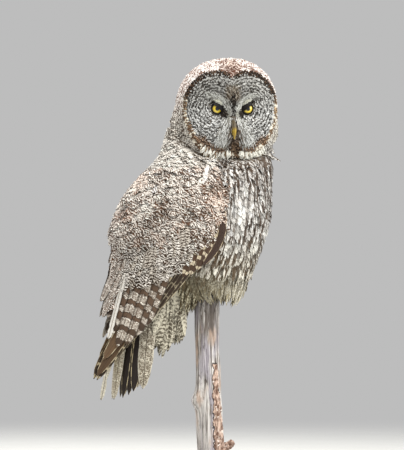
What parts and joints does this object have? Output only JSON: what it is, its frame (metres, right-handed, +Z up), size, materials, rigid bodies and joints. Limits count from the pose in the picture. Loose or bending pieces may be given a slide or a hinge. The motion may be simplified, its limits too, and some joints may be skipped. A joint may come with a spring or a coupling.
{
  "type": "great grey owl",
  "caption": "Life-size great grey owl with folded wings, its head turned to one side, perched on a cut length of dead stem on a round display stand.",
  "frame": {"origin": "middle of the stand base's underside", "axes": "+Z up; the body faces +X and the bird's right side faces -Y, where its face is turned"},
  "size_m": [0.351, 0.25, 0.7943],
  "materials": {
    "back_feather": "matte feather",
    "breast_feather": "matte feather",
    "face_feather": "matte feather",
    "flight_feather": "matte feather",
    "iris": "wet gloss",
    "bill_horn": "satin horn",
    "claw_horn": "satin horn",
    "weathered_wood": "bare, weathered",
    "stand_wood": "dark satin",
    "stand_steel": "satin"
  },
  "bodies": {
    "root": {"bill_lower": "bill_horn", "bill_upper": "bill_horn", "claw_left_1": "claw_horn", "claw_left_2": "claw_horn", "claw_left_3": "claw_horn", "claw_left_4": "claw_horn", "claw_right_1": "claw_horn", "claw_right_2": "claw_horn", "claw_right_3": "claw_horn", "claw_right_4": "claw_horn", "eye_left": "iris", "eye_right": "iris", "facial_disc": "face_feather", "foot_left": "face_feather", "foot_right": "face_feather", "head": "back_feather", "leg_left": "breast_feather", "leg_right": "breast_feather", "neck": "breast_feather", "perch_stem": "weathered_wood", "stand_base": "stand_wood", "stand_rod": "stand_steel", "tail": "flight_feather", "torso": "breast_feather", "undertail_coverts": "breast_feather", "uppertail_coverts": "back_feather", "wing_left": "back_feather", "wing_right": "back_feather"}
  },
  "joints": []
}
